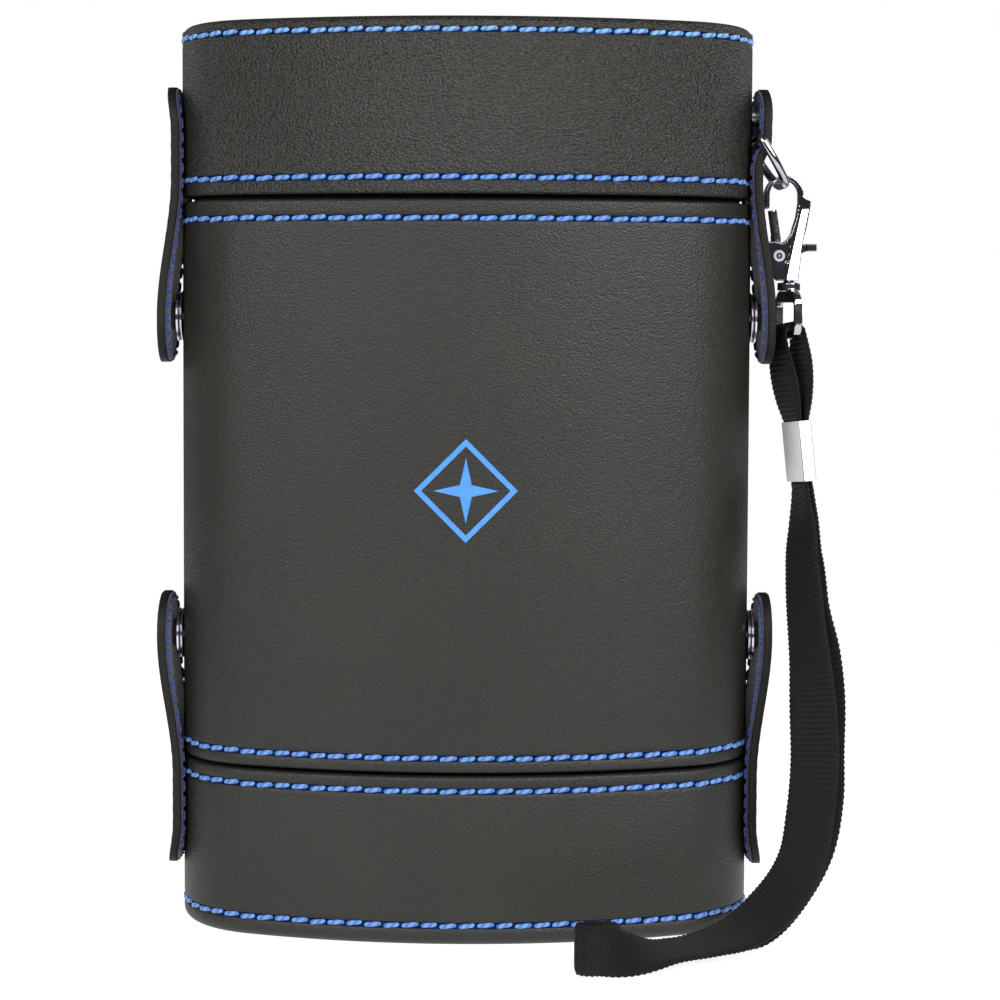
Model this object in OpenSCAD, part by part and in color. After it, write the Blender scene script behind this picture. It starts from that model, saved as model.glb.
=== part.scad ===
// Darts case: a tall box of oval section with a cap at each end. Each cap is held by
// two leather side straps that snap onto the middle part. A clasp and a webbing wrist
// loop hang from a ring on the upper right strap. Millimetres, +Z up, the front at -Y,
// the origin at the middle of the case's underside.

/* [Case] */
// Width across the two curved sides
case_w = 120; // [112:1:128]
// Depth from front to back
case_d = 58; // [52:1:60]
// Radius of the curved sides
side_r = 22; // [18:0.5:24]
// Height of each cap
cap_h = 34.8; // [34:0.2:38]
// Height of the middle part between the seams
body_h = 116.6; // [112:0.2:120]
// Gap at the lower seam
low_seam = 0.7; // [0.4:0.1:1.5]
// Gap at the upper seam
high_seam = 1.4; // [0.6:0.1:2]
// Thickness of the leather wrap
leather = 1.0; // [0.8:0.1:1.2]
// Thickness of the board wall of the caps
cap_board = 1.2; // [1:0.1:1.5]
// Gap all round between the neck and a cap
neck_gap = 0.2; // [0.1:0.05:0.4]
// How far the neck reaches into each cap
neck_reach = 12; // [10:0.5:12.4]

/* [Inside] */
// Thickness of the neck lining board
liner = 1.8; // [1.5:0.1:2.5]
// Height of the foam block that holds the darts
holder_h = 54; // [40:1:60]
// Diameter of a dart hole
dart_d = 9; // [8:0.5:12]
// Dart holes side by side
dart_columns = 3; // [2:1:3]

/* [Straps] */
// Width of a strap
strap_w = 20; // [18:1:22]
// Thickness of each of a strap's two plies
ply = 1.05; // [0.9:0.05:1.2]
// Length of a strap that is fixed to its cap
strap_fixed = 19.8; // [18:0.2:21]
// Length of a strap that folds open
strap_free = 38.7; // [37:0.1:42]
// Distance from the fold to the snap
snap_reach = 29; // [28:0.5:31]
// Diameter of the snap
snap_d = 10.6; // [10:0.2:12]

/* [Clasp and wrist loop] */
// Lean of the hanging ring away from the case, in degrees
ring_lean = 31.7; // [28:0.2:34]
// Turn of the swivel eye and ferrule about the upright axis, in degrees
eye_turn = 102; // [96:1:110]
// Width of the webbing
web_w = 10; // [9:0.5:10]

/* [Hidden] */
$fn = 48;
little = 0.01;

// Heights
body_low = cap_h + low_seam;
body_high = body_low + body_h;
top_rim = body_high + high_seam;
case_h = top_rim + cap_h;
neck_low = body_low - neck_reach;
neck_high = body_high + neck_reach;
fold_inset = 3.4;
top_fold = top_rim + fold_inset;
bottom_fold = cap_h - fold_inset;
rivet_reach = 3;

// Insets from the outer surface, in the order of the layers
core_out = leather;
cap_in = leather + cap_board;
neck_out = cap_in + neck_gap;
neck_in = neck_out + liner;

// Inside pieces
end_board = 2;
pad_h = 3;
partition_low = 40;
partition_h = 2;
holder_low = partition_low + partition_h;
holder_gap = 0.2;
dart_floor = 4;
dart_step_x = 34;
dart_step_y = 21;

// The oval section: two side arcs and two long arcs that meet them smoothly
side_x = case_w / 2;
side_c = side_x - side_r;
long_r = (side_c * side_c + pow(case_d / 2, 2) - side_r * side_r) / (case_d - 2 * side_r);
long_c = long_r - case_d / 2;
join_a = atan2(long_c, side_c);
side_steps = 14;
long_steps = 8;

function arc(cx, cy, r, from, to, steps) =
    [for (i = [0 : steps - 1])
        let (a = from + (to - from) * i / steps) [cx + r * cos(a), cy + r * sin(a)]];

function oval(inset) = concat(
    arc(side_c, 0, side_r - inset, -join_a, join_a, side_steps),
    arc(0, -long_c, long_r - inset, join_a, 180 - join_a, long_steps),
    arc(-side_c, 0, side_r - inset, 180 - join_a, 180 + join_a, side_steps),
    arc(0, long_c, long_r - inset, 180 + join_a, 360 - join_a, long_steps)
);

module oval_plate(inset, low, high) {
    translate([0, 0, low]) linear_extrude(high - low) polygon(oval(inset));
}

module oval_tube(outer, inner, low, high) {
    translate([0, 0, low]) linear_extrude(high - low) difference() {
        polygon(oval(outer));
        polygon(oval(inner));
    }
}

// Repeats its children on both sides of the case
module both_sides() {
    for (s = [-1, 1]) mirror([s < 0 ? 1 : 0, 0, 0]) children();
}

// A disc or rod along X from x = from to x = to
module x_rod(r, from, to, z) {
    translate([from, 0, z]) rotate([0, 90, 0]) cylinder(r = r, h = to - from);
}

// Snap fastener sizes
snap_r = snap_d / 2;
flange_h = 0.5;
post_r = 1.4;
stud_r = 1.9;
stud_h = 1.4;
stud_back_r = 4.5;
stud_back_h = 0.5;
stand_off = 2.2;
socket_lift = 0.05;
socket_r = 2.0;
back_clear = 0.2;
back_x = side_x - neck_out - 0.6;
snap_heights = [top_fold - snap_reach, bottom_fold + snap_reach];

module snap_holes(r, from, to) {
    both_sides() for (z = snap_heights) x_rod(r, from, to, z);
}

// Middle part of the case
module body_core() color([0.55, 0.45, 0.33]) difference() {
    oval_tube(core_out, neck_out, body_low, body_high);
    snap_holes(post_r, back_x - little, side_x + 1);
}

module body_wrap() color([0.24, 0.24, 0.22]) difference() {
    oval_tube(0, core_out, body_low, body_high);
    snap_holes(post_r, back_x - little, side_x + 1);
}

module neck_liner() color([0.1, 0.1, 0.1]) difference() {
    oval_tube(neck_out, neck_in, neck_low, neck_high);
    snap_holes(stud_back_r + back_clear, back_x - stud_back_h - back_clear, side_x);
}

module partition() color([0.35, 0.3, 0.24])
    oval_plate(neck_in, partition_low, partition_low + partition_h);

module dart_holder() color([0.16, 0.16, 0.17]) difference() {
    oval_plate(neck_in + holder_gap, holder_low, holder_low + holder_h);
    for (i = [0 : dart_columns - 1], side = [-1, 1])
        translate([(i - (dart_columns - 1) / 2) * dart_step_x, side * dart_step_y / 2,
                   holder_low + dart_floor])
            cylinder(d = dart_d, h = holder_h);
}

module snap_studs() color("silver") both_sides() for (z = snap_heights) {
    x_rod(snap_r, side_x, side_x + flange_h, z);
    x_rod(stud_r, side_x + flange_h - little, side_x + flange_h + stud_h, z);
}

module stud_backs() color("silver") both_sides() for (z = snap_heights) {
    x_rod(stud_back_r, back_x - stud_back_h, back_x, z);
    x_rod(post_r, back_x - little, side_x, z);
}

// Strap rivets: a flat head in the lining, a shank through the cap's wall and a washer
rivet_head_r = 2.2;
rivet_head_h = 0.3;
washer_h = 0.5;
rivet_seat = side_x + 0.5;
washer_x = side_x - cap_in + 0.55;
washer_clear = 0.1;

module rivet(seat, z) color("silver") {
    x_rod(rivet_head_r, seat, seat + rivet_head_h, z);
    x_rod(post_r, washer_x - little, seat + little, z);
    x_rod(rivet_head_r, washer_x - washer_h, washer_x, z);
}

// A rivet's way through a cap: the shank's hole and a pocket for the washer
module rivet_way(z) {
    x_rod(post_r, washer_x, side_x + 4, z);
    x_rod(rivet_head_r + washer_clear, side_c, washer_x + washer_clear, z);
}

module rivet_pair(z) both_sides() rivet(rivet_seat, z);

module top_strap_rivets() rivet_pair(top_fold + rivet_reach);
module bottom_strap_rivets() rivet_pair(bottom_fold - rivet_reach);

// Caps. Each piece is drawn for the bottom cap, with its closed end at z = 0, and the top
// cap's pieces are the same turned over.
module turned_over() {
    translate([0, 0, case_h]) mirror([0, 0, 1]) children();
}

cap_rivet_z = bottom_fold - rivet_reach;

module cap_core() color([0.55, 0.45, 0.33]) difference() {
    oval_tube(core_out, cap_in, leather, cap_h);
    both_sides() rivet_way(cap_rivet_z);
}

module cap_wrap() color([0.3, 0.3, 0.28]) difference() {
    oval_tube(0, core_out, leather, cap_h);
    both_sides() rivet_way(cap_rivet_z);
}

module cap_board() color([0.5, 0.42, 0.3]) oval_plate(cap_in, leather, leather + end_board);

end_inset = 0.6;
module cap_end_leather() color([0.3, 0.3, 0.28]) oval_plate(end_inset, 0, leather);

liner_low = leather + end_board;
module cap_liner() color([0.1, 0.1, 0.1]) oval_tube(cap_in, neck_in, liner_low, neck_low);

module cap_pad() color([0.14, 0.14, 0.15])
    oval_plate(neck_in + holder_gap, liner_low, liner_low + pad_h);

module top_cap_core() difference() {
    turned_over() cap_core();
    rivet_way(ring_rivet_z);
}
module top_cap_wrap() difference() {
    turned_over() cap_wrap();
    rivet_way(ring_rivet_z);
}
module top_cap_board() turned_over() cap_board();
module top_cap_end_leather() turned_over() cap_end_leather();
module top_cap_liner() turned_over() cap_liner();
module top_cap_pad() turned_over() cap_pad();
module bottom_cap_core() cap_core();
module bottom_cap_wrap() cap_wrap();
module bottom_cap_board() cap_board();
module bottom_cap_end_leather() cap_end_leather();
module bottom_cap_liner() cap_liner();
module bottom_cap_pad() cap_pad();

// Straps. Drawn for the bottom right one: its base stands flat against the side of the cap
// below the fold, and the flap rises from the fold and leans out to the snap.
corner_r = 8;
corner_steps = 6;
skin_gap = 0.05;
fold_gap = 0.15;
strap_x = side_x + skin_gap;
lean_steps = 10;

// Outline of a strap end: a tab of a given length, its two far corners rounded
function tab_outline(length) = concat(
    [[-strap_w / 2, 0], [strap_w / 2, 0]],
    arc(strap_w / 2 - corner_r, length - corner_r, corner_r, 0, 90, corner_steps),
    arc(corner_r - strap_w / 2, length - corner_r, corner_r, 90, 180, corner_steps),
    [[-strap_w / 2, length - corner_r]]
);

// The outline as a block along X, standing up from z = 0
module tab_block(length) {
    translate([side_c, 0, 0]) rotate([90, 0, 90]) linear_extrude(side_r + 20)
        polygon(tab_outline(length));
}

// A ply that follows a side line of [x, z] points, at an inset from it
module side_ply(line, inner) {
    inside = [for (p = line) p + [inner, 0]];
    outside = [for (i = [len(line) - 1 : -1 : 0]) line[i] + [inner + ply, 0]];
    rotate([90, 0, 0]) linear_extrude(strap_w + 2, center = true)
        polygon(concat(inside, outside));
}

base_line = [[strap_x, bottom_fold - strap_fixed - 1], [strap_x, bottom_fold - fold_gap]];

module strap_base_ply(line, inner) intersection() {
    side_ply(line, inner);
    translate([0, 0, bottom_fold]) mirror([0, 0, 1]) tab_block(strap_fixed);
}

module strap_base() color([0.26, 0.26, 0.24]) strap_base_ply(base_line, ply);

module strap_base_lining() color([0.2, 0.19, 0.3]) difference() {
    strap_base_ply(base_line, 0);
    x_rod(post_r, side_c, side_x + 2, cap_rivet_z);
    x_rod(rivet_head_r, rivet_seat, side_x + 2, cap_rivet_z);
}

// The flap leans out in a smooth double bend that ends just before the snap
lean_length = snap_reach - snap_d / 2 - 1;
function lean(share) = (stand_off - skin_gap) * pow(share, 2) * (3 - 2 * share);
lean_line = concat(
    [for (i = [0 : lean_steps])
        [strap_x + lean(i / lean_steps), bottom_fold + lean_length * i / lean_steps]],
    [[strap_x + lean(1), bottom_fold + strap_free + 1]]
);

module strap_flap_ply(inner) intersection() {
    side_ply(lean_line, inner);
    translate([0, 0, bottom_fold]) tab_block(strap_free);
}

snap_z = bottom_fold + snap_reach;
socket_x = side_x + flange_h + socket_lift;
socket_rim = 0.3;
flap_x = side_x + stand_off;

module strap_flap() color([0.26, 0.26, 0.24]) strap_flap_ply(ply);

module strap_flap_lining() color([0.2, 0.19, 0.3]) difference() {
    strap_flap_ply(0);
    x_rod(socket_r + 1, flap_x - 1, flap_x + ply, snap_z);
}

// The socket of the snap, with a post through the lining
module socket() color("silver") difference() {
    union() {
        x_rod(snap_r, socket_x, flap_x, snap_z);
        x_rod(socket_r + 1, flap_x - socket_rim, flap_x + ply, snap_z);
    }
    x_rod(socket_r, socket_x - 1, side_x + flange_h + stud_h + 0.1, snap_z);
}

module left() mirror([1, 0, 0]) children();

module bottom_right_strap_base() strap_base();
module bottom_right_strap_base_lining() strap_base_lining();
module bottom_left_strap_base() left() strap_base();
module bottom_left_strap_base_lining() left() strap_base_lining();
module top_left_strap_base() left() turned_over() strap_base();
module top_left_strap_base_lining() left() turned_over() strap_base_lining();
module bottom_right_strap() strap_flap();
module bottom_right_strap_lining() strap_flap_lining();
module bottom_right_socket() socket();
module bottom_left_strap() left() strap_flap();
module bottom_left_strap_lining() left() strap_flap_lining();
module bottom_left_socket() left() socket();
module top_right_strap() turned_over() strap_flap();
module top_right_strap_lining() turned_over() strap_flap_lining();
module top_right_socket() turned_over() socket();
module top_left_strap() left() turned_over() strap_flap();
module top_left_strap_lining() left() turned_over() strap_flap_lining();
module top_left_socket() left() turned_over() socket();

// The ring's bar lies behind the upper right base, between the strap's rivet and a second
// one, and holds the end of the strap away from the cap.
wire_r = 0.9;
bar_r = 0.85;
bar_clear = 0.05;
bar_x = side_x + skin_gap + bar_r;
bar_z = top_fold + 8.4;
lift = 2 * bar_r + bar_clear;
lift_from = 5.4;
lift_to = 7.4;
ring_rivet_z = bar_z + bar_r + 4.2;
raised_line = [
    [strap_x + lift, bottom_fold - strap_fixed - 1],
    [strap_x + lift, bottom_fold - lift_to],
    [strap_x, bottom_fold - lift_from],
    [strap_x, bottom_fold - fold_gap]
];

module top_right_strap_base() color([0.26, 0.26, 0.24])
    turned_over() strap_base_ply(raised_line, ply);

module top_right_strap_base_lining() color([0.2, 0.19, 0.3]) difference() {
    turned_over() difference() {
        strap_base_ply(raised_line, 0);
        x_rod(post_r, side_c, side_x + 2, cap_rivet_z);
        x_rod(rivet_head_r, rivet_seat, side_x + 1.3, cap_rivet_z);
    }
    x_rod(post_r, side_c, side_x + 4, ring_rivet_z);
    x_rod(rivet_head_r, rivet_seat + lift, side_x + 4, ring_rivet_z);
}

// The second rivet has a collar that fills the gap behind the strap
module ring_rivet() color("silver") {
    rivet(rivet_seat + lift, ring_rivet_z);
    x_rod(rivet_head_r, side_x, strap_x + lift - bar_clear, ring_rivet_z);
}

// Ring: a straight bar, two sides past the strap's edges, round corners and a lower wire
ring_half = 11.05;
ring_corner = 7;
ring_side = 3.9;
ring_drop = ring_side + ring_corner;

module ring_bend() translate([0, ring_corner - ring_half, -ring_side])
    rotate([0, 90, 0]) rotate([0, 0, -90])
        rotate_extrude(angle = 90) translate([ring_corner, 0]) circle(r = wire_r);

module d_ring() color("silver") translate([bar_x, 0, bar_z]) rotate([0, -ring_lean, 0]) {
    rotate([90, 0, 0]) cylinder(r = bar_r, h = 2 * ring_half, center = true);
    for (s = [-1, 1]) translate([0, s * ring_half, -ring_side])
        cylinder(r = wire_r, h = ring_side);
    ring_bend();
    mirror([0, 1, 0]) ring_bend();
    translate([0, 0, -ring_drop]) rotate([90, 0, 0])
        cylinder(r = wire_r, h = 2 * (ring_half - ring_corner), center = true);
}

// Clasp. Its outline is drawn in the X-Z plane about the ring's lower wire.
wire_x = bar_x + ring_drop * sin(ring_lean);
wire_z = bar_z - ring_drop * cos(ring_lean);
hook_half = 1.8;
cheek_half = 1.5;
loop_outer = 4.05;
loop_inner = 3.1;
loop_x = 0.35;
loop_z = -2.1;
nose_z = -5;
shoulder_z = -12.2;
foot_z = -20.2;
swivel_x = 1.65;
boss_r = 1.85;
boss_h = 3.8;
post_bore = 1.16;
head_bore = 1.5;
head_room = 1.7;
slot_half = 1.05;
slot_low = foot_z + 3.4;
slot_high = -9.2;
pivot_x = -0.6;
pivot_z = -14.95;
pin_r = 0.8;
pin_clear = 0.05;
pin_head_r = 1.2;
pin_head_h = 0.25;

module at_wire() translate([wire_x, 0, wire_z]) children();
module y_slab(half) rotate([90, 0, 0]) linear_extrude(2 * half, center = true) children();
module y_rod(r, half, x, z) {
    translate([x, 0, z]) rotate([90, 0, 0]) cylinder(r = r, h = 2 * half, center = true);
}

module hook_outline() difference() {
    union() {
        translate([loop_x, loop_z]) circle(r = loop_outer);
        translate([loop_x - loop_outer, nose_z]) square([loop_outer, loop_z - nose_z]);
        polygon([
            [-3.2, shoulder_z + 0.2], [-1.6, shoulder_z + 0.4], [0, shoulder_z + 0.4],
            [1.5, loop_z], [4.1, loop_z], [5, -2.8], [5.9, -3.2], [5.9, -4.4],
            [5.1, -9], [4.3, shoulder_z], [3.4, foot_z], [-1, foot_z],
            [-1.9, foot_z + 1.2]
        ]);
    }
    translate([loop_x, loop_z]) circle(r = loop_inner);
    polygon([
        [-8, nose_z], [loop_x - loop_inner, nose_z], [loop_x - loop_inner, loop_z],
        [loop_x + loop_inner, loop_z], [3.45, -3.7], [3, -6.8], [1.9, -10.4],
        [1, shoulder_z + 0.5], [0, shoulder_z], [-1.6, shoulder_z + 0.4],
        [-3.2, shoulder_z + 0.2], [-8, shoulder_z]
    ]);
}

// The cheeks beside the gate are thinner than the beam that carries the load
module cheek_cut() for (s = [-1, 1]) translate([0, s * (cheek_half + 1), 0])
    y_slab(1) polygon([
        [-6, shoulder_z + 2], [1, shoulder_z + 2], [1.6, shoulder_z], [0.9, foot_z - 1],
        [-6, foot_z - 1]
    ]);

module hook_body() color("silver") at_wire() difference() {
    union() {
        difference() {
            y_slab(hook_half) hook_outline();
            cheek_cut();
        }
        translate([swivel_x, 0, foot_z]) cylinder(r = boss_r, h = boss_h);
    }
    translate([-8, -slot_half, slot_low]) cube([16, 2 * slot_half, slot_high - slot_low]);
    translate([swivel_x, 0, foot_z - 1]) cylinder(r = post_bore, h = 4);
    translate([swivel_x, 0, foot_z + 2.2]) cylinder(r = head_bore, h = head_room);
    y_rod(pin_r, 3, pivot_x, pivot_z);
}

module gate_pin() color("silver") at_wire() {
    y_rod(pin_r, cheek_half + pin_head_h, pivot_x, pivot_z);
    for (s = [-1, 1]) translate([pivot_x, s * (cheek_half + pin_head_h / 2), pivot_z])
        rotate([90, 0, 0]) cylinder(r = pin_head_r, h = pin_head_h, center = true);
}

// Gate: a plate on the pin, a round finger up to the hook's nose and a thumb piece
hub_r = 1.6;
plate_half = 0.45;
finger_r = 1;
finger_low = 3.2;
finger_high = 9.7;
finger_tilt = -8.2;
thumb_x = 6.2;
thumb_z = 1.9;
thumb_half = 1.6;

module gate_lever() color("silver") at_wire() translate([pivot_x, 0, pivot_z]) difference() {
    union() {
        y_rod(hub_r, plate_half, 0, 0);
        y_slab(plate_half) polygon([
            [-1.5, 0.5], [-1.7, finger_low + 1], [0.3, finger_low + 1], [0.6, 2],
            [thumb_x, thumb_z + 0.7], [thumb_x, thumb_z - 0.9], [1.2, -0.9]
        ]);
        rotate([0, finger_tilt, 0]) translate([0, 0, finger_low])
            cylinder(r = finger_r, h = finger_high - finger_low);
        translate([thumb_x - 0.3, -thumb_half, thumb_z - 0.9]) cube([2, 2 * thumb_half, 1.5]);
    }
    y_rod(pin_r + pin_clear, 2, 0, 0);
}

// Spring: a flat coil on the pin beside the plate, with a leg against the hook
spring_out = 1.45;
spring_low = 0.5;
spring_thick = 0.4;
spring_leg = 1.7;

module gate_spring() color("silver") at_wire()
    translate([pivot_x, spring_low + spring_thick, pivot_z]) rotate([90, 0, 0])
        linear_extrude(spring_thick) difference() {
            union() {
                circle(r = spring_out);
                translate([-spring_out, -spring_leg]) square([0.5, spring_leg]);
            }
            circle(r = pin_r + pin_clear);
        }

// Swivel eye: a headed post in the clasp's foot, a collar and a stirrup for the webbing
eye_top = foot_z - 2;
eye_open_w = 11.2;
eye_out_w = 13.2;
eye_open_low = -10.5;
eye_open_high = -4.6;
eye_out_low = -12.4;
eye_half = 0.85;
eye_corner = 3.6;
eye_corner_in = 1.1;
bar_drop = -11.45;
collar_r = 2.4;
collar_h = 1.7;

function rounded_box(w, low, high, r) = concat(
    arc(w / 2 - r, low + r, r, -90, 0, corner_steps),
    arc(w / 2 - r, high - r, r, 0, 90, corner_steps),
    arc(r - w / 2, high - r, r, 90, 180, corner_steps),
    arc(r - w / 2, low + r, r, 180, 270, corner_steps)
);

module at_swivel() {
    translate([wire_x + swivel_x, 0, wire_z + foot_z]) children();
}

module swivel_eye() color("silver") at_swivel() rotate([0, 0, eye_turn]) {
    translate([0, 0, 2.35]) cylinder(r = 1.35, h = 0.85);
    translate([0, 0, -2]) cylinder(r = 1.1, h = 4.4);
    translate([0, 0, -0.4 - collar_h]) cylinder(r = collar_r, h = collar_h);
    y_slab(eye_half) difference() {
        polygon(rounded_box(eye_out_w, eye_out_low, eye_top - foot_z, eye_corner));
        polygon(rounded_box(eye_open_w, eye_open_low, eye_open_high, eye_corner_in));
    }
}

// Webbing between the eye and the ferrule, and the ferrule itself, hang at a slant
web_t = 1.0;
loop_in_r = 1.65;
slant_x = -3;
slant_y = -5.5;
ferrule_top = -18.4;
ferrule_low = -31.2;
ferrule_w = 11.2;
ferrule_t = 3.0;
slot_w = 10.2;
slot_t = 2.1;

module at_slant() {
    at_swivel() translate([0, 0, bar_drop]) rotate([slant_x, slant_y, 0])
        rotate([0, 0, eye_turn]) children();
}

// Runs a Y-Z outline along the webbing's width
module across(w) rotate([90, 0, 90]) linear_extrude(w, center = true) children();

module web_upper_loop() color([0.07, 0.07, 0.07]) at_slant() across(web_w) difference() {
    polygon(concat(
        arc(0, 0, loop_in_r + web_t, 0, 180, 10),
        [[-loop_in_r - web_t, 0], [-web_t, ferrule_top + 0.6],
         [-web_t, (ferrule_top + ferrule_low) / 2],
         [web_t, (ferrule_top + ferrule_low) / 2], [web_t, ferrule_top + 0.6]]
    ));
    polygon(concat(
        arc(0, 0, loop_in_r, 0, 180, 10),
        [[-loop_in_r, 0], [0, ferrule_top + 1.6]]
    ));
}

module ferrule() color("silver") at_slant() translate([0, 0, ferrule_low])
    linear_extrude(ferrule_top - ferrule_low) difference() {
        square([ferrule_w, ferrule_t], center = true);
        square([slot_w, slot_t], center = true);
    }

// Wrist loop: one flat strand down from the ferrule, round its far fold and back up.
// Each row is a point of the middle line, then the direction of the webbing's width.
strand_t = 0.9;
wrist_route = [
    [70.7, -1.7, 94.3, -1, 4.8, -0.35],
    [71, -1.85, 91.3, -1, 4.4, -0.3],
    [70.8, -4.5, 85, -1, 2.8, 0],
    [70.3, -10.5, 77, -1, 1.8, 0],
    [70.3, -17, 67, -1, 1.25, 0],
    [70.9, -20.5, 57, -1, 0.85, 0],
    [71.4, -22.5, 47, -1, 0.4, 0],
    [71.6, -24, 37, -1, 0.2, 0],
    [70.5, -26.5, 27, -1, 0.1, 0.15],
    [68.5, -29, 18, -1, 0.1, 0.4],
    [63.8, -32, 11, -0.7, 0.4, 0.7],
    [56, -36, 5.3, -0.5, 0.8, 0.5],
    [48, -40.5, 3.6, -0.4, 0.9, 0.25],
    [39.5, -45.2, 3.4, -0.4, 0.9, 0.25],
    [32.5, -49.5, 4.2, -0.2, 0.6, 0.7],
    [27.5, -52.5, 5.3, 0, 0.1, 1],
    [24.2, -53.6, 5.5, 0, 0, 1],
    [22.2, -52.6, 5.5, 0, 0, 1],
    [22.2, -50.6, 5.5, 0, 0, 1],
    [24.2, -49.2, 5.4, 0, 0, 1],
    [29, -47, 4.8, -0.1, 0.3, 1],
    [35.5, -43, 2.6, -0.4, 0.9, 0.2],
    [43, -38.5, 2.4, -0.45, 0.9, 0.15],
    [51, -34.3, 2.2, -0.5, 0.85, 0.1],
    [58.5, -31, 3.8, -0.6, 0.75, 0.25],
    [65.5, -27.5, 11, -0.7, 0.4, 0.6],
    [70.8, -24.5, 19.5, -1, 0.2, 0.45],
    [73, -22, 29, -1, 0.15, 0.2],
    [73.4, -19.8, 39, -1, 0.25, 0],
    [73.8, -18, 49, -1, 0.4, 0],
    [73.2, -16.2, 59, -1, 0.7, 0],
    [71.7, -14, 68.5, -1, 1.25, 0],
    [71.7, -8, 77, -1, 2, 0],
    [72, -3.6, 85, -1, 2.8, 0],
    [71.95, -1.65, 91.3, -1, 4.4, -0.3],
    [71.65, -1.5, 94.3, -1, 4.8, -0.35]
];

// The route follows the case when its width or height is changed
route_rise = (wire_z + foot_z + bar_drop) / 124.38;
function route_point(i) = let (p = wrist_route[i])
    [p[0] + side_x - 60, p[1], p[2] * route_rise];
function route_width(i) = let (p = wrist_route[i]) [p[3], p[4], p[5]];
function unit(v) = v / norm(v);
function along(i) = let (last = len(wrist_route) - 1)
    unit(route_point(min(i + 1, last)) - route_point(max(i - 1, 0)));

// One ring of eight points round the middle line
strand_bevel = 0.3;
function strand_ring(i) = let (
        p = route_point(i),
        t = along(i),
        w = unit(route_width(i) - t * (route_width(i) * t)),
        n = cross(t, w),
        a = web_w / 2,
        b = strand_t / 2,
        c = strand_bevel
    ) [for (q = [[a, -b + c], [a, b - c], [a - c, b], [c - a, b],
                 [-a, b - c], [-a, c - b], [c - a, -b], [a - c, -b]])
        p + w * q[0] + n * q[1]];

module wrist_loop() color([0.07, 0.07, 0.07]) {
    rings = len(wrist_route);
    sides = 8;
    points = [for (i = [0 : rings - 1]) each strand_ring(i)];
    walls = [for (i = [0 : rings - 2], j = [0 : sides - 1]) each [
        [i * sides + j, (i + 1) * sides + j, (i + 1) * sides + (j + 1) % sides],
        [i * sides + j, (i + 1) * sides + (j + 1) % sides, i * sides + (j + 1) % sides]
    ]];
    first = [for (j = [0 : sides - 1]) j];
    last = [for (j = [sides - 1 : -1 : 0]) (rings - 1) * sides + j];
    polyhedron(points = points, faces = concat([first], walls, [last]));
}

body_core();
body_wrap();
neck_liner();
partition();
dart_holder();
snap_studs();
stud_backs();
top_cap_core();
top_cap_wrap();
top_cap_board();
top_cap_end_leather();
top_cap_liner();
top_cap_pad();
top_strap_rivets();
bottom_cap_core();
bottom_cap_wrap();
bottom_cap_board();
bottom_cap_end_leather();
bottom_cap_liner();
bottom_cap_pad();
bottom_strap_rivets();
top_left_strap_base();
top_left_strap_base_lining();
top_right_strap_base();
top_right_strap_base_lining();
bottom_left_strap_base();
bottom_left_strap_base_lining();
bottom_right_strap_base();
bottom_right_strap_base_lining();
top_left_strap();
top_left_strap_lining();
top_left_socket();
top_right_strap();
top_right_strap_lining();
top_right_socket();
bottom_left_strap();
bottom_left_strap_lining();
bottom_left_socket();
bottom_right_strap();
bottom_right_strap_lining();
bottom_right_socket();
ring_rivet();
d_ring();
hook_body();
gate_pin();
gate_spring();
gate_lever();
swivel_eye();
web_upper_loop();
ferrule();
wrist_loop();
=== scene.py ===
"""Darts case in leather with a cap at each end, snap straps, a clasp and a wrist loop.

Everything is in metres, in the CAD frame: +Z up, the front towards -Y, the origin at the
middle of the case's underside. MM turns a size in millimetres into metres.
"""

import math
import bmesh
import bpy
from mathutils import Matrix, Vector


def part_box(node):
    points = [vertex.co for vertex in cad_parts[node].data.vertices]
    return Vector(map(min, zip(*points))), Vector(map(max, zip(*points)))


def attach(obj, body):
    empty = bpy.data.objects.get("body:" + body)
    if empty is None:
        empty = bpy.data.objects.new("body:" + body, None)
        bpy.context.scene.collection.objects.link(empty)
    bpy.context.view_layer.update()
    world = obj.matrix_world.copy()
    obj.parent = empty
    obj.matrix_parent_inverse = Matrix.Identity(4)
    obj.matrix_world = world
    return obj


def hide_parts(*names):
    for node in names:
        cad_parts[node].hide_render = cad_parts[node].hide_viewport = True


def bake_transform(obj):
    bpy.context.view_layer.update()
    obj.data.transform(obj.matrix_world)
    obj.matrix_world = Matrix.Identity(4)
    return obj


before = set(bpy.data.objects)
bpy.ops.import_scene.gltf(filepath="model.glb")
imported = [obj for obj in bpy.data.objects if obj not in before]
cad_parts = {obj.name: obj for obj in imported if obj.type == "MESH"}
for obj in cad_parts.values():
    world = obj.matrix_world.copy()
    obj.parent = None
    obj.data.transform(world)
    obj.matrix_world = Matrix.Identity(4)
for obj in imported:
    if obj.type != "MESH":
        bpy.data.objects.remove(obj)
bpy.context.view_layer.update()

MM = 0.001
COLLECTION = bpy.context.scene.collection


# ---------------------------------------------------------------- sizes from the frame

BODY_LO, BODY_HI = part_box("body_wrap")
SIDE_X, HALF_DEPTH = BODY_HI.x, BODY_HI.y
BODY_LOW, BODY_HIGH = BODY_LO.z, BODY_HI.z - 0.4 * MM
CAP_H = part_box("bottom_cap_wrap")[1].z
TOP_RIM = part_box("top_cap_wrap")[0].z - 0.8 * MM
CASE_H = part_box("top_cap_end_leather")[1].z
LEATHER = 1.0 * MM
NECK_OUT = 2.4 * MM
NECK_IN = 4.2 * MM
NECK_LOW, NECK_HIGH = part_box("neck_liner")[0].z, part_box("neck_liner")[1].z

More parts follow.
